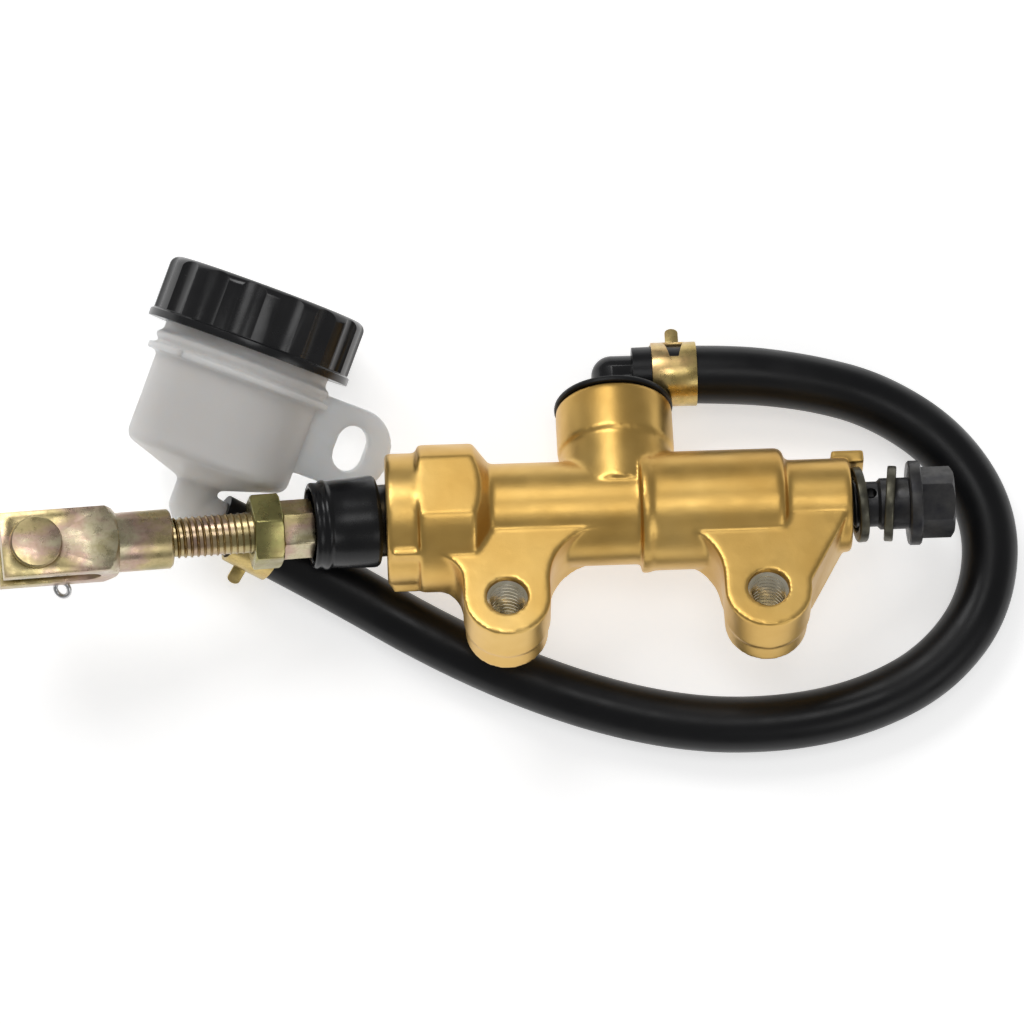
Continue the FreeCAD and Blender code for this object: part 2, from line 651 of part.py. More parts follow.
def build_elbow():
    """A moulded right-angle nozzle: flange in the boss, riser, rounded corner, outlet."""
    x, y = d.boss_x.number, d.elbow_y.number
    end = d.elbow_end_x.number
    foot = tube_between("elbow_foot", (x, 12, 0), (x, 14.2, 0), d.recess_r - 0.06)
    riser = tube_between("elbow_riser", (x, 12, 0), (x, y, 0), d.elbow_r)
    corner = doc.addObject("Part::Sphere", "elbow_corner")
    bind(corner, "Radius", d.elbow_r)
    corner.Placement.Base = FreeCAD.Vector(x, y, 0)
    outlet = tube_between("elbow_outlet", (x, y, 0), (end, y, 0), d.elbow_r)
    outside = doc.addObject("Part::MultiFuse", "elbow_outside")
    outside.Shapes = [foot, riser, corner, outlet]
    rise = tube_between("elbow_rise_bore", (x, 11, 0), (x, y, 0), d.elbow_bore_r)
    out = tube_between("elbow_outlet_bore", (x, y, 0), (end + 1, y, 0), d.elbow_bore_r)
    passage = doc.addObject("Part::MultiFuse", "elbow_passage")
    passage.Shapes = [rise, out]
    elbow = doc.addObject("Part::Cut", "inlet_elbow")
    elbow.Base, elbow.Tool = outside, passage
    keep("inlet_elbow", elbow, cylinder_frame)


def build_clamp(label, place):
    """A spring band clamp about its local z axis, tongue and window towards local y."""
    clamp = new_body(label)
    inner = d.hose_r + 0.04
    outer = inner + d.clamp_wall
    band = new_sketch(clamp)
    draw_circle(band, 0, 0, outer)
    draw_circle(band, 0, 0, inner)
    extruded(clamp, band, d.clamp_width)
    half = d.clamp_width / 2
    tongue = new_sketch(clamp, "YZ_Plane", shift_z=1.4)
    draw_outline(tongue, box_steps(inner + 0.2, outer + 4, -1.35, 1.35))
    extruded(clamp, tongue, 0.9)
    window = new_sketch(clamp, "YZ_Plane", shift_z=-2.2)
    draw_outline(window, box_steps(inner, outer + 4.2, -half, half))
    draw_outline(window, box_steps(outer + 0.6, outer + 3.0, -half + 1.5, half - 1.5))
    extruded(clamp, window, 0.9)
    keep(label, clamp, place)


def hose_route():
    """Corner points of the hose's route, from the inlet elbow round to the reservoir."""
    start = cylinder_frame.multVec(FreeCAD.Vector(d.boss_x.number + 4.05, d.elbow_y.number, 0))
    straight = cylinder_frame.multVec(FreeCAD.Vector(18.5, d.elbow_y.number, 0))
    bench = d.hose_r.number + 0.1
    loop = [
        (65.9, 15.9, 8.3), (80.5, 11.9, 6.3), (94.1, 2.1, bench), (101.8, -12.7, bench),
        (99.7, -29.2, bench), (89.8, -41.6, bench), (75.3, -48.8, bench), (58.2, -51.8, bench),
        (39.4, -51.0, bench), (18.0, -45.2, bench), (-5.6, -34.4, bench),
    ]
    nipple_way = nipple_frame.Rotation.multVec(Z_AXIS)
    end = nipple_frame.Base + nipple_way * 6.2
    turn = nipple_frame.Base + nipple_way * 30.0
    return [start, straight] + [FreeCAD.Vector(*p) for p in loop] + [turn, end]


def rounded_path(points):
    """Straight runs joined by tangent arcs, each as large as its two runs allow."""
    edges, radii = [], []
    here = points[0]
    for before, corner, after in zip(points, points[1:], points[2:]):
        run_in, run_out = corner - before, after - corner
        half_turn = run_in.getAngle(run_out) / 2
        tangent = 0.45 * min(run_in.Length, run_out.Length)
        radii.append(tangent / math.tan(half_turn))
        first = corner - direction(*run_in) * tangent
        last = corner + direction(*run_out) * tangent
        inward = direction(*(direction(*run_out) - direction(*run_in)))
        bulge = radii[-1] * (1 / math.cos(half_turn) - 1)
        edges.append(Part.LineSegment(here, first).toShape())
        edges.append(Part.Arc(first, corner + inward * bulge, last).toShape())
        here = last
    edges.append(Part.LineSegment(here, points[-1]).toShape())
    return Part.Wire(edges), radii


def build_hose():
    points = hose_route()
    path, radii = rounded_path(points)
    start_way = direction(*(points[1] - points[0]))
    tubes = []
    for radius in (d.hose_r.number, d.hose_bore_r.number):
        ring = Part.Wire(Part.makeCircle(radius, points[0], start_way))
        tubes.append(path.makePipeShell([ring], True, False))
    hose = doc.addObject("Part::Feature", "hose")
    hose.Shape = tubes[0].cut(tubes[1])
    keep("hose", hose, FreeCAD.Placement())
    section = math.pi * (d.hose_r.number ** 2 - d.hose_bore_r.number ** 2)
    print("hose radii, mm:", [round(r, 1) for r in radii])
    print("hose runs, mm:", [round((b - a).Length, 1) for a, b in zip(points, points[1:])])
    print("hose length", round(path.Length, 1), "volume", round(hose.Shape.Volume),
          "section times length", round(section * path.Length))


# ----------------------------------------------------------------- reservoir

def reservoir_placement():
    yaw = FreeCAD.Rotation(Z_AXIS, -d.tank_yaw.number)
    tilt = FreeCAD.Rotation(X_AXIS, d.tank_tilt.number)
    base = FreeCAD.Vector(d.tank_x.number, d.tank_y.number, d.tank_height.number)
    roll = FreeCAD.Rotation(Y_AXIS, d.tank_roll.number)
    return FreeCAD.Placement(base, yaw.multiply(tilt).multiply(roll))


reservoir_frame = reservoir_placement()
nipple_turn = FreeCAD.Rotation(Z_AXIS, -d.nipple_drop.number).multiply(
    FreeCAD.Rotation(Y_AXIS, 90 + d.nipple_lower.number))
nipple_local = FreeCAD.Placement(FreeCAD.Vector(0, d.nipple_y.number, 0), nipple_turn)
nipple_frame = reservoir_frame.multiply(nipple_local)


def build_reservoir():
    tank = new_body("reservoir")
    turned(tank, [
        (0, d.tank_tip), (14.6, d.tank_tip + 4.75), (d.tank_r, d.tank_bottom + 0.9, 2.5),
        (d.tank_r, -6.1), (18.6, -5.95), (18.6, -4.65), (16.9, -4.5), (16.9, -3.5),
        (17.8, -3.4), (17.8, -2.2), (d.neck_r, -2.1), (d.neck_r, d.neck_top),
        (14.6, d.neck_top), (14.6, 1.5), (14.9, -3.5), (14.9, d.tank_bottom + 1.2),
        (13.8, d.tank_bottom + 0.1), (0, d.tank_tip + 1.9),
    ], axis="V_Axis")
    add_mounting_ear(tank)
    add_nipple(tank)
    keep("reservoir", tank, reservoir_frame)


def add_mounting_ear(tank):
    """A flat ear with one slotted hole, beside the reservoir's wall."""
    end_x = d.ear_x + 8.0
    top, low = d.ear_y + 8.2, d.ear_y - 8.2
    ear = new_sketch(tank)
    draw_outline(ear, [
        (15.4, low), (end_x - d.ear_r, low), (end_x, low + d.ear_r, d.ear_r),
        (end_x, top - d.ear_r), (end_x - d.ear_r, top, d.ear_r), (15.4, top),
    ])
    left, right = d.ear_x - d.ear_slot_r, d.ear_x + d.ear_slot_r
    slot_top, slot_low = d.ear_y + d.ear_slot_half, d.ear_y - d.ear_slot_half
    draw_outline(ear, [
        (right, slot_top), (d.ear_x, slot_top + d.ear_slot_r, d.ear_slot_r),
        (left, slot_top, d.ear_slot_r), (left, slot_low),
        (d.ear_x, slot_low - d.ear_slot_r, d.ear_slot_r), (right, slot_low, d.ear_slot_r),
    ])
    extruded(tank, ear, d.ear_half * 2)


def add_nipple(tank):
    """The outlet below the cone's tip, turned sideways and towards the bench."""
    turned(tank, [
        (0, d.nipple_y - 3.9), (2.6, d.nipple_y - 3.2), (4.2, d.nipple_y - 1.0),
        (4.2, d.tank_tip + 2.2), (0, d.tank_tip + 1.6),
    ], axis="V_Axis")
    solid = tank.newObject("PartDesign::AdditiveCylinder", "nipple")
    bind(solid, "Radius", d.nipple_r)
    bind(solid, "Height", d.nipple_length)
    solid.Placement = nipple_local
    bore = tank.newObject("PartDesign::SubtractiveCylinder", "nipple_bore")
    bind(bore, "Radius", d.elbow_bore_r)
    bind(bore, "Height", d.nipple_length + 1)
    bore.Placement = nipple_local
    tank.Tip = bore
    turned(tank, box_steps(0, d.elbow_bore_r, d.nipple_y, d.tank_tip + 3), axis="V_Axis", cut=True)


def build_cap():
    cap = new_body("reservoir_cap")
    soft = 1.8
    top = d.cap_height
    inner = d.neck_r + 0.3
    turned(cap, [
        (inner, 0), (d.cap_r + 0.5, 0), (d.cap_r + 0.5, 1.4), (d.cap_r, 1.7),
        (d.cap_r, top - soft), (d.cap_r - soft, top, soft), (0, top), (0, top - 2),
        (inner, top - 2),
    ], axis="V_Axis")
    flute = new_sketch(cap, "XZ_Plane", shift_z=-11.8)
    draw_circle(flute, 0, d.cap_r + 5.3, 6.0)
    pocket = extruded(cap, flute, 20, cut=True)
    doc.recompute()
    pattern = cap.newObject("PartDesign::PolarPattern", "flutes")
    pattern.Originals = [pocket]
    pattern.Axis = (origin_plane(cap, "Y_Axis"), [""])
    pattern.Angle = 360
    pattern.Occurrences = 16
    cap.Tip = pattern
    keep("reservoir_cap", cap, reservoir_frame)


def build_diaphragm():
    rim = d.neck_r - 0.1
    low = d.neck_top + 0.03
    diaphragm = lathe_part("diaphragm", [
        (0, -2.0), (13.9, -2.0), (13.9, low), (rim, low), (rim, low + 1.1), (12.9, low + 1.1),
        (12.9, -1.0), (0, -1.0),
    ], axis="V_Axis")
    plate = lathe_part("diaphragm_plate", [
        (0, low + 1.15), (rim, low + 1.15), (rim, low + 2.25), (0, low + 2.25),
    ], axis="V_Axis")
    keep("diaphragm", diaphragm, reservoir_frame)
    keep("diaphragm_plate", plate, reservoir_frame)


# ---------------------------------------------------------------- banjo bolt

def build_banjo_bolt():
    bolt = new_body("banjo_bolt")
    flange_end = d.flange_x + 2.4
    turned(bolt, [
        (31, 0), (31, d.banjo_thread_r - 0.6), (31.6, d.banjo_thread_r),
        (44.6, d.banjo_thread_r), (44.9, d.banjo_neck_r), (47.6, d.banjo_neck_r),
        (48.2, d.banjo_shank_r), (d.flange_x, d.banjo_shank_r), (d.flange_x, d.flange_r - 0.3),
        (d.flange_x + 0.3, d.flange_r), (flange_end - 0.3, d.flange_r),
        (flange_end, d.flange_r - 0.3), (flange_end, 0),
    ])
    width = d.bolt_end_x - flange_end
    head = new_sketch(bolt, "YZ_Plane", shift_z=flange_end + width / 2 - 0.1)
    hexagon(head, d.head_flats)
    extruded(bolt, head, width + 0.2)
    outside = d.head_flats * 0.75
    turned(bolt, [
        (d.bolt_end_x + 0.5, d.head_flats / 2 - 0.8), (d.bolt_end_x + 0.5, outside),
        (d.bolt_end_x - 1.9, outside),
    ], cut=True)
    turned(bolt, box_steps(30, 48.0, 0, 1.7), cut=True)
    cross = new_sketch(bolt)
    draw_circle(cross, 46.25, 0, 1.15)
    extruded(bolt, cross, 20, cut=True)
    keep("banjo_bolt", bolt, cylinder_frame)


def build_crush_washer(label, centre_x, tilt):
    """A loose washer, hanging on the bolt and leaning along it."""
    washer = new_body(label)
    ring = new_sketch(washer, "YZ_Plane")
    draw_circle(ring, 0, 0, d.washer_r)
    draw_circle(ring, 0, 0, d.washer_bore_r)
    extruded(washer, ring, d.washer_width)
    lean = FreeCAD.Placement(
        FreeCAD.Vector(centre_x, 0, 0), FreeCAD.Rotation(direction(0, 0.3, 1), tilt))
    keep(label, washer, cylinder_frame.multiply(lean))


# ------------------------------------------------------------ build and check

build_cylinder_body()
build_piston()
build_seals()
build_spring_set()
build_stops()
build_boot()
build_pushrod()
build_lock_nut()
build_clevis()
build_clevis_pin()
build_grommet()
build_elbow()
build_reservoir()
build_cap()
build_diaphragm()
build_hose()
build_clamp("hose_clamp_inlet", cylinder_frame.multiply(FreeCAD.Placement(
    FreeCAD.Vector(d.clamp_on_elbow.number, d.elbow_y.number, 0),
    FreeCAD.Rotation(Y_AXIS, 90))))
build_clamp("hose_clamp_reservoir", nipple_frame.multiply(FreeCAD.Placement(
    FreeCAD.Vector(0, 0, d.clamp_on_nipple.number), FreeCAD.Rotation(Z_AXIS, d.clamp_turn.number))))
build_banjo_bolt()
build_crush_washer("crush_washer_inner", 44.1, 6.0)
build_crush_washer("crush_washer_outer", 50.2, -7.0)
doc.recompute()

faulty = [item.Label for item in doc.Objects
          if "Invalid" in item.State or "Error" in item.State]
if faulty:
    raise RuntimeError(f"not built: {faulty}")
for label, item in pieces.items():
    if item.Shape.isNull() or not item.Shape.isValid() or item.Shape.Volume <= 0:
        raise RuntimeError(f"{label} has no valid shape")

os.makedirs("parts", exist_ok=True)
for label, item in pieces.items():
    item.Shape.exportStep(f"parts/{label}.step")
print(len(pieces), "pieces written")
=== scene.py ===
"""Rear brake master cylinder: the visual model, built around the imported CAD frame."""
import json
import math

import bmesh
import bpy
import numpy as np
from mathutils import Matrix, Vector

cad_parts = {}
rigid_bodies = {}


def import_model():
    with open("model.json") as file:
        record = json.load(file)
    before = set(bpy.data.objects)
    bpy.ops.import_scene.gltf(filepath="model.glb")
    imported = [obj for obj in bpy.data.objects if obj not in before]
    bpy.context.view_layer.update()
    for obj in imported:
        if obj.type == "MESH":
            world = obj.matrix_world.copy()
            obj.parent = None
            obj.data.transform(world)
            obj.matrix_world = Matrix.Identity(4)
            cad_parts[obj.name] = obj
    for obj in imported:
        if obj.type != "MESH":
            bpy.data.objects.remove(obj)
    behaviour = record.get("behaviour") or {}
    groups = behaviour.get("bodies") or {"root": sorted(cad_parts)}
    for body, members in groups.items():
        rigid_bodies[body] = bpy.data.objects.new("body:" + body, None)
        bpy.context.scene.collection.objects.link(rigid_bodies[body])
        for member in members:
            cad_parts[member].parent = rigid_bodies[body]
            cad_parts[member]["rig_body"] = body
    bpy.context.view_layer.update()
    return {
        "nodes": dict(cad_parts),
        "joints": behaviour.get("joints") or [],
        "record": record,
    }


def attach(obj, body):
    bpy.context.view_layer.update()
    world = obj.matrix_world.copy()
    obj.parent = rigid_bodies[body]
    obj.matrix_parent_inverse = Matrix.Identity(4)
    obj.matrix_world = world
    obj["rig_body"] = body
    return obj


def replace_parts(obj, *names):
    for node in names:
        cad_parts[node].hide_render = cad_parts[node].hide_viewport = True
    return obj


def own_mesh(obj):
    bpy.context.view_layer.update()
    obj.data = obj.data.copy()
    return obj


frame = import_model()
nodes = frame["nodes"]
MM = 0.001
TURN = 2 * math.pi
PITCH = 1.25  # mm, shared by the M8 threads and the fine M10 thread

# ---------------------------------------------------------------- frames from the record

joints = {joint["name"]: joint for joint in frame["joints"]}
mounts = {mount["name"]: mount for mount in frame["record"]["mounts"]}


def axes_frame(origin, x_axis, z_hint):
    """A matrix whose local x runs along x_axis, with local z as near z_hint as it can be."""
    x = Vector(x_axis).normalized()
    y = Vector(z_hint).cross(x).normalized()
    z = x.cross(y)
    turn = Matrix((x, y, z)).transposed().to_4x4()
    return Matrix.Translation(Vector(origin)) @ turn


hole_1 = Vector(mounts["mount_hole_1"]["pos_m"])
hole_2 = Vector(mounts["mount_hole_2"]["pos_m"])
hole_axis = Vector(mounts["mount_hole_1"]["axis"])
ball = Vector(joints["push_rod_swivel"]["pos_m"])
rod_axis = Vector(joints["clevis_turn"]["axis"])
cap_axis = Vector(joints["cap_turn"]["axis"])
BALL_X = -37.2 * MM  # the push rod's ball, along the bore
bore_origin = Vector(((hole_1.x + hole_2.x) / 2, ball.y, ball.z))
BORE = axes_frame(bore_origin, (1, 0, 0), hole_axis)
ROD = axes_frame(ball - rod_axis * BALL_X, rod_axis, hole_axis)
TANK = axes_frame(joints["cap_turn"]["pos_m"], cap_axis, (0, 0, 1))

# ---------------------------------------------------------------- camera and light


def add_camera():
    """Almost straight down, a little from the lug side, with a long lens."""
    azimuth, elevation, roll = math.radians(-8), math.radians(79.5), math.radians(6)
    back = Vector((math.sin(azimuth) * math.cos(elevation),
                   -math.cos(azimuth) * math.cos(elevation), math.sin(elevation)))
    level = Vector((math.cos(azimuth), math.sin(azimuth), 0))
    rise = back.cross(level)
    right = level * math.cos(roll) + rise * math.sin(roll)
    up = rise * math.cos(roll) - level * math.sin(roll)
    target, distance = Vector((0.0072, -0.0105, 0.0199)), 1.2
    camera = bpy.data.objects.new("camera", bpy.data.cameras.new("camera"))
    camera.data.lens = 217.8
    camera.data.sensor_width = 36
    camera.data.clip_start = 0.01
    camera.matrix_world = (
        Matrix.Translation(target + back * distance) @ Matrix((right, up, back)).transposed().to_4x4())
    bpy.context.scene.collection.objects.link(camera)
    bpy.context.scene.camera = camera


def add_area_light(name, place, size, power):
    """A rectangular light that looks at the origin."""
    lamp = bpy.data.lights.new(name, "AREA")
    lamp.shape = "RECTANGLE"
    lamp.size, lamp.size_y = size
    lamp.energy = power
    light = bpy.data.objects.new(name, lamp)
    light.location = place
    light.rotation_euler = Vector(place).to_track_quat("Z", "Y").to_euler()
    bpy.context.scene.collection.objects.link(light)


def add_studio():
    """Three soft lights and an even white sky."""
    add_area_light("key_light", (-0.25, 0.55, 0.75), (0.5, 0.35), 3.0)
    add_area_light("fill_light", (0.55, -0.65, 0.6), (0.6, 0.4), 1.2)
    add_area_light("top_light", (0.1, 0.05, 1.6), (0.5, 0.5), 2.5)
    world = bpy.data.worlds.new("studio")
    world.use_nodes = True
    sky = world.node_tree.nodes["Background"]
    sky.inputs["Color"].default_value = (1.0, 1.0, 1.0, 1)
    sky.inputs["Strength"].default_value = 0.28
    bpy.context.scene.world = world
    bpy.context.scene.view_settings.view_transform = "Standard"


# ---------------------------------------------------------------- materials


class Shader:
    """A procedural material: one principled shader and the textures that feed it."""

    def __init__(self, name, **sockets):
        self.material = bpy.data.materials.new(name)
        self.material.use_nodes = True
        self.tree = self.material.node_tree
        self.shader = self.tree.nodes["Principled BSDF"]
        self.place = self.add("ShaderNodeTexCoord").outputs["Object"]
        by_name = {entry.name.lower(): entry for entry in self.shader.inputs}
        for socket, value in sockets.items():
            by_name[socket.replace("_", " ")].default_value = value

    def add(self, kind, **values):
        node = self.tree.nodes.new(kind)
        for key, value in values.items():
            setattr(node, key, value)
        return node

    def link(self, source, target):
        self.tree.links.new(source, target)

    def noise(self, scale, detail, stretch=None):
        """Noise of about 1/scale metres, stretched along an axis if asked."""
        node = self.add("ShaderNodeTexNoise")
        node.inputs["Scale"].default_value = scale
        node.inputs["Detail"].default_value = detail
        node.inputs["Roughness"].default_value = 0.55
        place = self.place
        if stretch:
            mapping = self.add("ShaderNodeMapping")
            mapping.inputs["Scale"].default_value = stretch
            self.link(place, mapping.inputs["Vector"])
            place = mapping.outputs["Vector"]
        self.link(place, node.inputs["Vector"])
        return node.outputs["Fac"]

    def ramp(self, source, stops):
        """A colour ramp from (position, colour) stops."""
        node = self.add("ShaderNodeValToRGB")
        elements = node.color_ramp.elements
        while len(elements) < len(stops):
            elements.new(0.5)
        for element, (position, colour) in zip(elements, stops):
            element.position = position
            element.color = (*colour, 1)
        self.link(source, node.inputs["Fac"])
        return node.outputs["Color"]

    def grey_ramp(self, source, low, high, start=0.3, end=0.7):
        return self.ramp(source, [(start, (low,) * 3), (end, (high,) * 3)])

    def mix(self, amount, first, second):
        """A colour mix; each input is a socket or a value."""
        factor_in, first_in, second_in, colour_out = 0, 6, 7, 2
        node = self.add("ShaderNodeMix", data_type="RGBA")
        for index, value in ((factor_in, amount), (first_in, first), (second_in, second)):
            if isinstance(value, bpy.types.NodeSocket):
                self.link(value, node.inputs[index])
            else:
                node.inputs[index].default_value = value
        return node.outputs[colour_out]

    def colour(self, source):
        self.link(source, self.shader.inputs["Base Color"])

    def roughness(self, source, low, high):
        self.link(self.grey_ramp(source, low, high), self.shader.inputs["Roughness"])

    def bump(self, *layers):
        """Each layer is a height field, its strength and its depth in metres."""
        last = None
        for height, strength, depth in layers:
            node = self.add("ShaderNodeBump")
            node.inputs["Strength"].default_value = strength
            node.inputs["Distance"].default_value = depth
            self.link(height, node.inputs["Height"])
            if last:
                self.link(last, node.inputs["Normal"])
            last = node.outputs["Normal"]
        self.link(last, self.shader.inputs["Normal"])


def gold_casting():
    """Satin gold anodising over a bead-blasted casting."""
    s = Shader("gold_casting", metallic=1.0, roughness=0.34)
    cloud = s.noise(45, 5)
    s.colour(s.ramp(cloud, [(0.3, (0.63, 0.38, 0.10)), (0.52, (0.71, 0.455, 0.135)),
                            (0.75, (0.77, 0.52, 0.18))]))
    s.roughness(s.noise(160, 6), 0.31, 0.43)
    s.bump((s.noise(170, 3), 0.3, 0.00016), (s.noise(4200, 3), 0.3, 0.00003))
    return s.material


def machined_gold():
    """The cut faces and threads of the anodised casting."""
    s = Shader("machined_gold", metallic=1.0, roughness=0.18)
    s.colour(s.ramp(s.noise(300, 4), [(0.3, (0.66, 0.58, 0.40)), (0.7, (0.86, 0.80, 0.64))]))
    s.roughness(s.noise(900, 4), 0.14, 0.26)
    s.bump((s.noise(2500, 3), 0.12, 0.00002))
    return s.material


def yellow_zinc(name, tint):
    """Yellow chromate over zinc: an oil-film drift of olive, straw and rose."""
    s = Shader(name, metallic=1.0, roughness=0.27)
    drift = s.noise(62, 5, stretch=(1.0, 1.7, 1.0))
    olive, straw, rose, pale = tint
    film = s.ramp(drift, [(0.30, olive), (0.44, straw), (0.54, rose), (0.63, pale), (0.76, olive)])
    speck = s.grey_ramp(s.noise(1500, 5), 0.0, 0.35, 0.45, 0.75)
    s.colour(s.mix(speck, film, (0.30, 0.22, 0.10, 1)))
    s.roughness(s.noise(420, 5), 0.2, 0.4)
    s.bump((s.noise(650, 5, stretch=(0.25, 1, 1)), 0.25, 0.00004),
           (s.noise(3800, 3), 0.15, 0.00002))
    return s.material


def dark_plate(name, low, high, rough_low, rough_high):
    """A dark phosphate or passivated steel."""
    s = Shader(name, metallic=0.85, roughness=0.42)
    s.colour(s.ramp(s.noise(260, 5), [(0.3, low), (0.7, high)]))
    s.roughness(s.noise(700, 5), rough_low, rough_high)
    s.bump((s.noise(3200, 4), 0.2, 0.00002))
    return s.material


def rubber(name, rough_low, rough_high, gloss):
    """Moulded or extruded black rubber, with a little dust."""
    s = Shader(name, roughness=0.4, specular_ior_level=gloss)
    dust = s.grey_ramp(s.noise(55, 6), 0.0, 0.35, 0.5, 0.8)
    s.colour(s.mix(dust, (0.0045, 0.0047, 0.0055, 1), (0.014, 0.014, 0.015, 1)))
    s.roughness(s.noise(130, 5), rough_low, rough_high)
    s.bump((s.noise(420, 4), 0.16, 0.00006), (s.noise(5200, 3), 0.12, 0.00002))
    return s.material


def gloss_moulding(name):
    """Shiny black injection-moulded plastic."""
    s = Shader(name, roughness=0.2, specular_ior_level=0.36)
    s.colour(s.ramp(s.noise(70, 4), [(0.35, (0.006, 0.006, 0.007)), (0.75, (0.013, 0.013, 0.014))]))
    s.roughness(s.noise(150, 5), 0.15, 0.3)
    s.bump((s.noise(300, 3), 0.1, 0.00006), (s.noise(6000, 2), 0.06, 0.00001))
    return s.material


def tank_plastic():
    """Natural nylon: milky, lets light through, with faint flow marks."""
    s = Shader("tank_plastic", roughness=0.36, transmission_weight=0.16,
               subsurface_weight=0.85, ior=1.4)
    s.shader.inputs["Subsurface Radius"].default_value = (0.006, 0.007, 0.008)
    s.shader.inputs["Subsurface Scale"].default_value = 1.0
    s.colour(s.ramp(s.noise(38, 4), [(0.3, (0.955, 0.975, 0.975)), (0.7, (0.985, 0.995, 0.99))]))
    s.roughness(s.noise(120, 4), 0.28, 0.45)
    s.bump((s.noise(140, 4), 0.18, 0.00012), (s.noise(3000, 2), 0.08, 0.00002))
    return s.material


def bright_metal(name, tone):
    """Turned or drawn bare metal, with marks along one axis."""
    s = Shader(name, metallic=1.0, roughness=0.24)
    s.colour(s.ramp(s.noise(300, 4), [(0.3, (tone * 0.82,) * 3), (0.7, (tone * 1.1,) * 3)]))
    s.roughness(s.noise(900, 5), 0.18, 0.34)
    s.bump((s.noise(1800, 4, stretch=(1, 0.2, 1)), 0.15, 0.00002))
    return s.material


def bench_top():
    """The pale bench, lifted towards white by a little light of its own."""
    s = Shader("bench_top", roughness=0.6, emission_strength=0.55)
    s.shader.inputs["Emission Color"].default_value = (1, 1, 1, 1)
    s.colour(s.ramp(s.noise(12, 4), [(0.3, (0.80, 0.80, 0.80)), (0.7, (0.83, 0.83, 0.83))]))
    s.bump((s.noise(900, 3), 0.05, 0.00003))
    return s.material


# ---------------------------------------------------------------- mesh tools


def new_piece(name, mesh, material, body):
    """Links a mesh as a piece that rides a body."""
    piece = bpy.data.objects.new(name, mesh)
    bpy.context.scene.collection.objects.link(piece)
    mesh.materials.clear()
    mesh.materials.append(material)
    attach(piece, body)
    return piece


def smooth_by_angle(mesh, limit):
    """Smooth faces, with edges sharper than the limit kept crisp."""
    shape = bmesh.new()
    shape.from_mesh(mesh)
    for face in shape.faces:
        face.smooth = True
    for edge in shape.edges:
        edge.smooth = edge.calc_face_angle(0) < math.radians(limit)
    shape.to_mesh(mesh)
    shape.free()


def with_modifiers(mesh, *modifiers):
    """The mesh after a list of (kind, settings) modifiers."""
    carrier = bpy.data.objects.new("carrier", mesh)
    bpy.context.scene.collection.objects.link(carrier)
    for kind, settings in modifiers:
        modifier = carrier.modifiers.new(kind.lower(), kind)
        for key, value in settings.items():
            setattr(modifier, key, value)
    seen = carrier.evaluated_get(bpy.context.evaluated_depsgraph_get())
    result = bpy.data.meshes.new_from_object(seen)
    bpy.data.objects.remove(carrier)
    return result


def clean_copy(node, reshape=None):
    """A welded copy of a CAD node's mesh with its flat faces merged."""
    shape = bmesh.new()
    shape.from_mesh(nodes[node].data)
    bmesh.ops.remove_doubles(shape, verts=shape.verts, dist=0.002 * MM)
    if reshape:
        for vertex in shape.verts:
            vertex.co = reshape(vertex.co)
    bmesh.ops.dissolve_limit(
        shape, angle_limit=math.radians(0.6), verts=shape.verts, edges=shape.edges)
    mesh = bpy.data.meshes.new(node + "_copy")
    shape.to_mesh(mesh)
    shape.free()
    return mesh


def bevelled(node, material, width=0.25, segments=2, angle=38, reshape=None):
    """Stands for a CAD node with its sharp edges rounded."""
    mesh = with_modifiers(
        clean_copy(node, reshape),
        ("BEVEL", {"width": width * MM, "segments": segments, "limit_method": "ANGLE",
                   "angle_limit": math.radians(angle), "use_clamp_overlap": True}),
        ("TRIANGULATE", {}))
    smooth_by_angle(mesh, 32)
    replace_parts(new_piece(node + "_finished", mesh, material, nodes[node]["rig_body"]), node)


def rounded(node, material, voxel, passes, keep_sharp=None, nudge=None, reshape=None):
    """Stands for a CAD node, remeshed so that its edges and inner corners are rounded."""
    mesh = with_modifiers(
        clean_copy(node, reshape), ("REMESH", {"mode": "VOXEL", "voxel_size": voxel * MM}))
    count = len(mesh.vertices)
    points = np.empty(count * 3)
    mesh.vertices.foreach_get("co", points)
    points = points.reshape(-1, 3)
    if nudge:
        points = nudge(points)
    pairs = np.empty(len(mesh.edges) * 2, int)
    mesh.edges.foreach_get("vertices", pairs)
    first, second = pairs.reshape(-1, 2).T
    degree = np.bincount(pairs, minlength=count)[:, None]
    weight = keep_sharp(points)[:, None] if keep_sharp else 1.0
    for _ in range(passes):
        total = np.stack([
            np.bincount(first, points[second, axis], count)
            + np.bincount(second, points[first, axis], count) for axis in range(3)], 1)
        points += weight * 0.5 * (total / degree - points)
    mesh.vertices.foreach_set("co", points.ravel())
    mesh.shade_smooth()
    mesh.update()
    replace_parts(new_piece(node + "_finished", mesh, material, nodes[node]["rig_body"]), node)


def turned_piece(name, place, outline, material, body, steps=96):
    """A closed outline of (x, radius) points in mm, turned about place's x axis."""
    shape = bmesh.new()
    rings = []
    for step in range(steps):
        angle = TURN * step / steps
        rings.append([shape.verts.new(place @ Vector((
            x * MM, r * MM * math.cos(angle), r * MM * math.sin(angle)))) for x, r in outline])
    for here, there in zip(rings, rings[1:] + rings[:1]):
        for i in range(len(outline)):
            j = (i + 1) % len(outline)
            shape.faces.new((here[i], here[j], there[j], there[i]))
    bmesh.ops.recalc_face_normals(shape, faces=shape.faces)
    mesh = bpy.data.meshes.new(name)
    shape.to_mesh(mesh)
    shape.free()
    smooth_by_angle(mesh, 40)
    return new_piece(name, mesh, material, body)


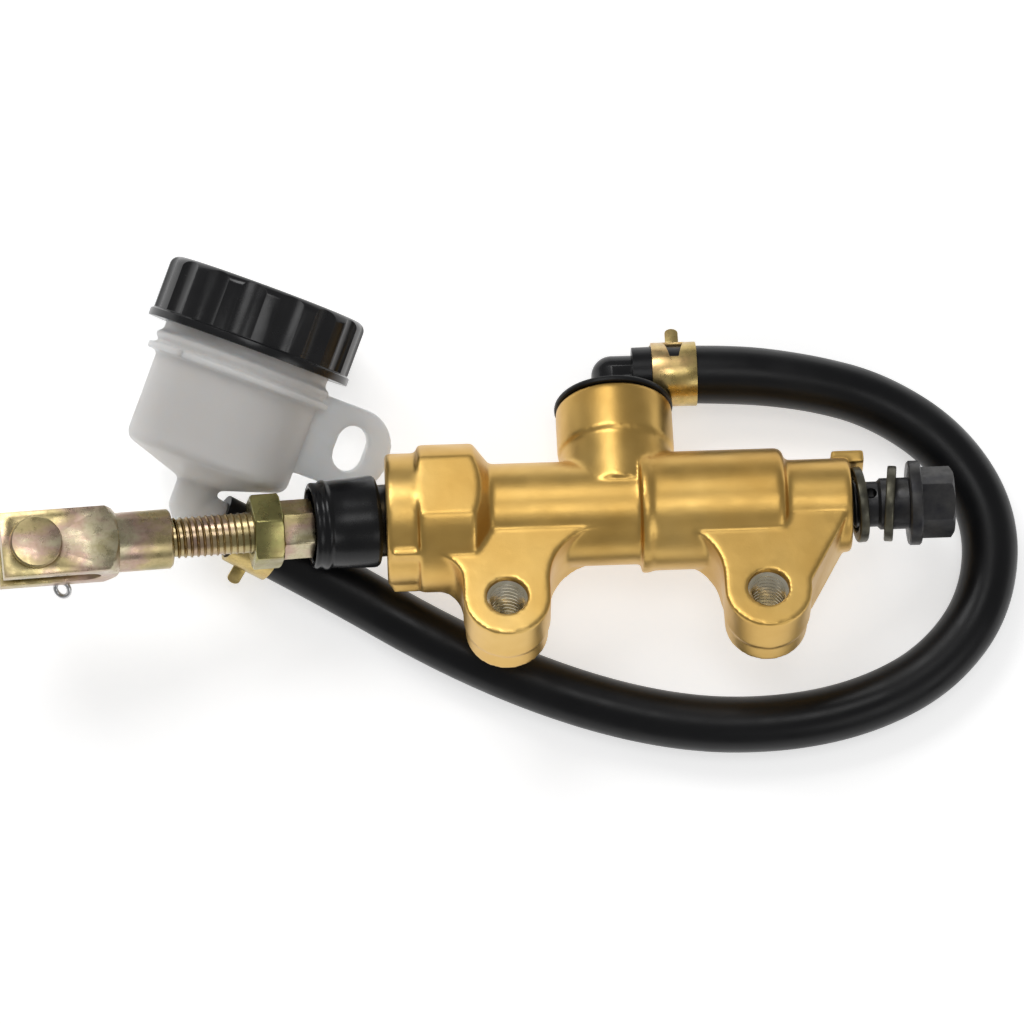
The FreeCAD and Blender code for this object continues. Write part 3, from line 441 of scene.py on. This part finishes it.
def thread_ridge(name, place, start, length, root, crest, material, body):
    """A right-hand helical ridge in mm about place's x axis; crest under root is an inner thread."""
    steps, run_out = 40, 0.3
    total = int(length / PITCH * steps)
    profile = [(-0.47, root), (-0.07, crest), (0.07, crest), (0.47, root)]
    shape = bmesh.new()
    rings = []
    for step in range(total + 1):
        angle = TURN * step / steps
        fade = min(1.0, step / (steps * run_out), (total - step) / (steps * run_out))
        ring = []
        for offset, radius in profile:
            r = root + (radius - root) * max(fade, 0.02)
            x = start + PITCH * (step / steps + offset)
            ring.append(shape.verts.new(place @ Vector((
                x * MM, r * MM * math.cos(angle), r * MM * math.sin(angle)))))
        rings.append(ring)
    for here, there in zip(rings, rings[1:]):
        for i in range(len(profile)):
            j = (i + 1) % len(profile)
            shape.faces.new((here[i], here[j], there[j], there[i]))
    shape.faces.new(rings[0])
    shape.faces.new(rings[-1][::-1])
    bmesh.ops.recalc_face_normals(shape, faces=shape.faces)
    mesh = bpy.data.meshes.new(name)
    shape.to_mesh(mesh)
    shape.free()
    smooth_by_angle(mesh, 35)
    return new_piece(name, mesh, material, body)


def thinned(frame_of_shaft, points_on_thread, root):
    """A reshape that turns a plain shaft down to its thread's root, in mm."""
    to_shaft = frame_of_shaft.inverted()

    def thin_thread(point):
        local = to_shaft @ point
        radius = math.hypot(local.y, local.z)
        if points_on_thread(local.x / MM, radius / MM):
            factor = root * MM / radius
            local = Vector((local.x, local.y * factor, local.z * factor))
        return frame_of_shaft @ local

    return thin_thread


# ---------------------------------------------------------------- hose


def make_hose(material):
    """The feed hose: one smooth curve from the inlet elbow round to the reservoir's nipple."""
    bench = 5.6  # mm, the centreline's height where the hose lies down
    route = [
        (32.01, 17.86, 9.30), (48.86, 17.86, 9.30), (65.9, 15.9, 8.3), (80.5, 11.9, 6.3),
        (94.1, 2.1, bench), (101.8, -12.7, bench), (99.7, -29.2, bench), (89.8, -41.6, bench),
        (75.3, -48.8, bench), (58.2, -51.8, bench), (39.4, -51.0, bench), (18.0, -45.2, bench),
        (-5.6, -34.4, bench), (-29.72, -19.28, 5.73), (-49.95, -9.08, 13.01),
    ]
    data = bpy.data.curves.new("hose", "CURVE")
    data.dimensions = "3D"
    data.bevel_depth = 5.5 * MM
    data.bevel_resolution = 12
    data.resolution_u = 24
    data.use_fill_caps = True
    spline = data.splines.new("NURBS")
    spline.points.add(len(route) - 1)
    for point, place in zip(spline.points, route):
        point.co = (*(value * MM for value in place), 1)
    spline.points[1].radius = 1.06
    spline.order_u = 3
    spline.use_endpoint_u = True
    data.materials.append(material)
    hose = bpy.data.objects.new("feed_hose", data)
    bpy.context.scene.collection.objects.link(hose)
    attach(hose, "cylinder")
    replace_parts(hose, "hose")
    return hose, [Vector(route[index]) * MM for index in (0, -1, -2)]


# ---------------------------------------------------------------- pieces


LUG_X, LUG_Y = 25.0, -21.8  # mm from the bore's frame
TAPPED_R, MAJOR_R = 3.4, 3.95  # mm, the tapped hole's drilled and thread radii
SHEET_THICKNESS, SHEET_BEVEL = 0.72, 0.14  # mm, the clamps' metal


def make_body(cast, machined):
    """The casting, rounded everywhere except round its cut holes and faces."""
    to_bore = BORE.inverted()

    def open_thread(point):
        local = to_bore @ point / MM
        for hole_x in (-LUG_X, LUG_X):
            radius = math.hypot(local.x - hole_x, local.y - LUG_Y)
            if radius < TAPPED_R + 0.15:
                factor = MAJOR_R / radius
                local.x = hole_x + (local.x - hole_x) * factor
                local.y = LUG_Y + (local.y - LUG_Y) * factor
        return BORE @ (local * MM)

    def in_bore_frame(points):
        turn = np.array(to_bore)
        return (points @ turn[:3, :3].T + turn[:3, 3]) / MM

    def step_at_parting(points):
        """The lower half of the mould is a little smaller round the lugs."""
        parting_z, step_depth = -2.2, 0.42
        ring_in, ring_out, ring_fade = 5.5, 9.2, 2.0
        local = in_bore_frame(points)
        for hole_x in (-LUG_X, LUG_X):
            offset = local[:, :2] - (hole_x, LUG_Y)
            radius = np.hypot(*offset.T)
            low = (local[:, 2] < parting_z) & (radius > ring_in) & (radius < ring_out)
            inset = step_depth * np.clip((radius[low] - ring_in) / ring_fade, 0, 1)
            local[low, :2] -= offset[low] * (inset / radius[low])[:, None]
        back = np.array(BORE)
        return local * MM @ back[:3, :3].T + back[:3, 3]

    def keep_sharp(points):
        """How far each point may be smoothed: less in the bores and the holes."""
        cut_r, cut_share = 7.4, 0.15
        hole_r, hole_share = 4.9, 0.12
        mouth_x, outlet_x, inlet_x, inlet_y = -20, 38, -2.4, 9
        x, y, z = in_bore_frame(points).T
        weight = np.ones(len(points))
        weight[(np.hypot(y, z) < cut_r) & ((x < mouth_x) | (x > outlet_x))] = cut_share
        weight[(np.hypot(x - inlet_x, z) < cut_r) & (y > inlet_y)] = cut_share
        for hole_x in (-LUG_X, LUG_X):
            weight[np.hypot(x - hole_x, y - LUG_Y) < hole_r] = hole_share
        return weight

    rounded("cylinder_body", cast, 0.33, 9, keep_sharp, step_at_parting, open_thread)
    for number, place in enumerate((hole_1, hole_2), 1):
        hole = axes_frame(place, hole_axis, (1, 0, 0))
        thread_ridge(f"mount_thread_{number}", hole, -6.4, 12.8, 3.99, 3.3,
                     machined, "cylinder")


def make_boot(skin):
    """The rubber boot: curled lip, a bead behind it, a plain cone and a foot in the mouth."""
    hinge_x, foot_x = -46, -45.5
    lean = Matrix.Translation(BORE @ Vector((hinge_x * MM, 0, 0)) - rod_axis * hinge_x * MM)
    place = lean @ axes_frame((0, 0, 0), rod_axis, hole_axis)
    outline = [
        (-61.9, 8.38), (-62.3, 8.2), (-62.5, 7.8), (-62.4, 7.4), (-62.0, 7.15), (-61.5, 7.2),
        (-60.9, 7.45), (-56.0, 7.3), (-55.8, 5.3), (-54.5, 5.3), (-54.4, 7.2), (-51.2, 7.3),
        (-50.0, 6.0), (-45.5, 5.95), (-45.5, 6.95), (-49.4, 7.0), (-49.62, 7.9), (-49.7, 8.6),
        (-50.1, 8.85), (-50.6, 8.9), (-52.0, 8.84), (-56.5, 8.6), (-58.8, 8.4), (-59.2, 8.46),
        (-59.5, 8.64), (-59.9, 8.7), (-60.3, 8.6), (-60.6, 8.35), (-60.9, 8.24), (-61.4, 8.3),
    ]
    boot = turned_piece("boot_finished", place, outline, skin, "cylinder", 128)
    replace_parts(boot, "dust_boot")
    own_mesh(boot)


def make_rod(zinc, dark_zinc):
    """Push rod: the CAD rod with its thread turned down to the root, and a real M8 helix."""
    thin_thread = thinned(ROD, lambda x, radius: x < -68.55 and radius > 3.0, 3.38)
    bevelled("pushrod", zinc, 0.2, reshape=thin_thread)
    thread_ridge("pushrod_thread", ROD, -102.9, 34.2, 3.34, 3.97,
                 dark_zinc, "push_rod")


def make_banjo(black):
    """Outlet bolt: the CAD bolt with its thread turned down to the root, and a real M10 helix."""
    thin_thread = thinned(BORE, lambda x, radius: x < 44.7 and radius > 4.3, 4.0)
    bevelled("banjo_bolt", black, 0.22, reshape=thin_thread)
    thread_ridge("banjo_thread", BORE, 31.6, 12.4, 3.98, 4.54,
                 black, "banjo_bolt")


def facing(place, way):
    """1 or -1: the side of a frame's local y that looks along a direction of the row."""
    return 1 if (place.to_3x3() @ Vector((0, 1, 0))).dot(Vector(way)) > 0 else -1


def clamp_place(node, on_line, axis):
    """The clamp's frame: local x along the hose, local z towards its ears."""
    ear_reach = 9  # mm from the centreline; only the ears go past it
    axis = Vector(axis).normalized()
    corners = [vertex.co - on_line for vertex in nodes[node].data.vertices]
    along = [corner.dot(axis) for corner in corners]
    far = [corner - axis * corner.dot(axis) for corner in corners
           if (corner - axis * corner.dot(axis)).length > ear_reach * MM]
    middle = on_line + axis * (min(along) + max(along)) / 2
    return axes_frame(middle, axis, sum(far, Vector()) / len(far))


def solid_sheet(name, place, faces, material):
    """Flat or rolled sheet metal: a surface in mm given real thickness and soft edges."""
    shape = bmesh.new()
    for face in faces:
        shape.faces.new([shape.verts.new(place @ (Vector(point) * MM)) for point in face])
    bmesh.ops.remove_doubles(shape, verts=shape.verts, dist=0.004 * MM)
    bmesh.ops.recalc_face_normals(shape, faces=shape.faces)
    raw = bpy.data.meshes.new(name + "_raw")
    shape.to_mesh(raw)
    shape.free()
    mesh = with_modifiers(
        raw, ("SOLIDIFY", {"thickness": SHEET_THICKNESS * MM, "offset": 0}),
        ("BEVEL", {"width": SHEET_BEVEL * MM, "segments": 2, "limit_method": "ANGLE",
                   "angle_limit": math.radians(40)}))
    smooth_by_angle(mesh, 35)
    return new_piece(name, mesh, material, "cylinder")


def make_clamp(node, place, side, framed, material):
    """A spring band clamp: rolled band with a tapered window, a finger and, if framed, an ear."""
    radius, half, steps = 5.96, 4.4, 120
    opens, closes = math.radians(28), math.radians(80)
    wide, narrow = 2.1, 0.9

    def band_point(angle, x):
        return (x, side * radius * math.sin(angle), radius * math.cos(angle))

    def window_half(angle):
        share = min(max((angle - opens) / (closes - opens), 0), 1)
        return wide - (wide - narrow) * share

    faces = []
    for step in range(steps):
        here, there = TURN * step / steps, TURN * (step + 1) / steps
        w_here, w_there = window_half(here), window_half(there)
        rails = [(-half, -half), (-w_here, -w_there), (w_here, w_there), (half, half)]
        for index, (low, high) in enumerate(zip(rails, rails[1:])):
            if index == 1 and opens <= here < closes and not framed:
                continue
            faces.append([band_point(here, low[0]), band_point(here, high[0]),
                          band_point(there, high[1]), band_point(there, low[1])])
    band = solid_sheet(node + "_band", place, faces, material)

    tip, root, width, bend, nose = 10.1, 5.95, 1.3, 7.4, 0.9
    finger = [(-width, 0.0, root), (width, 0.0, root), (width, 0.25, bend), (width, 0.55, tip - nose)]
    finger += [(width * math.cos(a), 0.6, tip - nose + nose * math.sin(a))
               for a in (math.pi * k / 8 for k in range(1, 8))]
    finger += [(-width, 0.55, tip - nose), (-width, 0.25, bend)]
    leaves = [[(x, side * -y, z) for x, y, z in (finger[0], finger[1], finger[2], finger[-1])],
              [(x, side * -y, z) for x, y, z in (finger[-1], *finger[2:-1])]]
    pieces = [band, solid_sheet(node + "_finger", place, leaves, material)]
    if framed:
        lean = math.radians(52)
        outer = [(-4.3, root), (4.3, root), (3.5, tip), (-3.5, tip)]
        inner = [(-2.9, root + 0.7), (2.9, root + 0.7), (2.3, tip - 1.0), (-2.3, tip - 1.0)]
        turned = [[(x, side * r * math.sin(lean), r * math.cos(lean)) for x, r in loop]
                  for loop in (outer, inner)]
        ring = [[turned[0][k], turned[0][(k + 1) % 4], turned[1][(k + 1) % 4], turned[1][k]]
                for k in range(4)]
        pieces.append(solid_sheet(node + "_ear", place, ring, material))
    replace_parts(band, node)
    return pieces


def make_tank(milky):
    """The reservoir, with the small moulding pip between its two rings."""
    rounded("reservoir", milky, 0.4, 5)
    x, y, z = -5.3, 10.55, 14.9
    outward = TANK.to_3x3() @ Vector((0, y, z))
    dome = axes_frame(TANK @ (Vector((x, y, z)) * MM), outward, cap_axis)
    outline = [(-0.3, 0.001), (-0.3, 0.75), (0.45, 0.75), (0.7, 0.55), (0.72, 0.3), (0.6, 0.001)]
    turned_piece("reservoir_pip", dome, outline, milky, "cylinder", 32)


# ---------------------------------------------------------------- the scene

add_camera()
hose_skin = rubber("hose_rubber", 0.28, 0.44, 0.26)
hose, hose_ends = make_hose(hose_skin)
add_studio()

floor_mesh = bpy.data.meshes.new("bench")
reach, bench_drop = 3.0, 0.0003
floor_mesh.from_pydata(
    [(-reach, -reach, 0), (reach, -reach, 0), (reach, reach, 0), (-reach, reach, 0)],
    [], [(0, 1, 2, 3)])
floor_mesh.materials.append(bench_top())
floor = bpy.data.objects.new("bench", floor_mesh)
floor.location.z = -bench_drop
bpy.context.scene.collection.objects.link(floor)

OLIVE, STRAW = (0.33, 0.29, 0.13), (0.52, 0.42, 0.22)
ROSE, PALE = (0.50, 0.35, 0.28), (0.56, 0.50, 0.34)
cast = gold_casting()
machined = machined_gold()
zinc = yellow_zinc("yellow_zinc", (OLIVE, STRAW, ROSE, PALE))
clamp_zinc = yellow_zinc(
    "clamp_zinc", ((0.42, 0.31, 0.10), (0.66, 0.50, 0.20), (0.60, 0.40, 0.18), (0.70, 0.56, 0.28)))
nut_zinc = yellow_zinc(
    "nut_zinc", ((0.28, 0.26, 0.10), (0.36, 0.33, 0.13), (0.31, 0.26, 0.11), (0.44, 0.40, 0.19)))
thread_zinc = yellow_zinc(
    "thread_zinc", ((0.17, 0.125, 0.05), (0.30, 0.21, 0.08), (0.27, 0.17, 0.08), (0.36, 0.27, 0.12)))
phosphate = dark_plate("black_phosphate", (0.035, 0.035, 0.04), (0.075, 0.073, 0.07), 0.34, 0.52)
olive_plate = dark_plate("olive_plate", (0.06, 0.058, 0.045), (0.15, 0.14, 0.10), 0.28, 0.46)
boot_rubber = rubber("boot_rubber", 0.2, 0.32, 0.32)
seal_rubber = rubber("seal_rubber", 0.36, 0.55, 0.3)
cap_plastic = gloss_moulding("cap_plastic")
elbow_plastic = gloss_moulding("elbow_plastic")
tank = tank_plastic()
steel = bright_metal("bright_steel", 0.62)
turned_alloy = bright_metal("turned_alloy", 0.72)

make_body(cast, machined)
make_rod(zinc, thread_zinc)
make_banjo(phosphate)
make_tank(tank)
bevelled("reservoir_cap", cap_plastic, 0.45, 3, 30)
bevelled("lock_nut", nut_zinc, 0.3)
bevelled("clevis", zinc, 0.35)
bevelled("clevis_pin", zinc, 0.2)
inlet_place = clamp_place("hose_clamp_inlet", hose_ends[0], (1, 0, 0))
outlet_place = clamp_place("hose_clamp_reservoir", hose_ends[1], hose_ends[2] - hose_ends[1])
clamps = [
    *make_clamp("hose_clamp_inlet", inlet_place, facing(inlet_place, (0, 0, 1)), False, clamp_zinc),
    *make_clamp("hose_clamp_reservoir", outlet_place, facing(outlet_place, (1, 0, 0)), True,
                clamp_zinc),
]
bevelled("inlet_elbow", elbow_plastic, 0.3)
bevelled("inlet_grommet", seal_rubber, 0.4)
make_boot(boot_rubber)
for name in ("crush_washer_inner", "crush_washer_outer"):
    bevelled(name, olive_plate, 0.35, 3)
for name, finish in (
        ("piston", turned_alloy), ("primary_cup", seal_rubber), ("secondary_cup", seal_rubber),
        ("spring_seat", steel), ("return_spring", steel), ("stop_washer", steel),
        ("circlip", steel), ("cotter_pin", steel), ("diaphragm", seal_rubber),
        ("diaphragm_plate", cap_plastic)):
    mesh = nodes[name].data
    mesh.materials.clear()
    mesh.materials.append(finish)
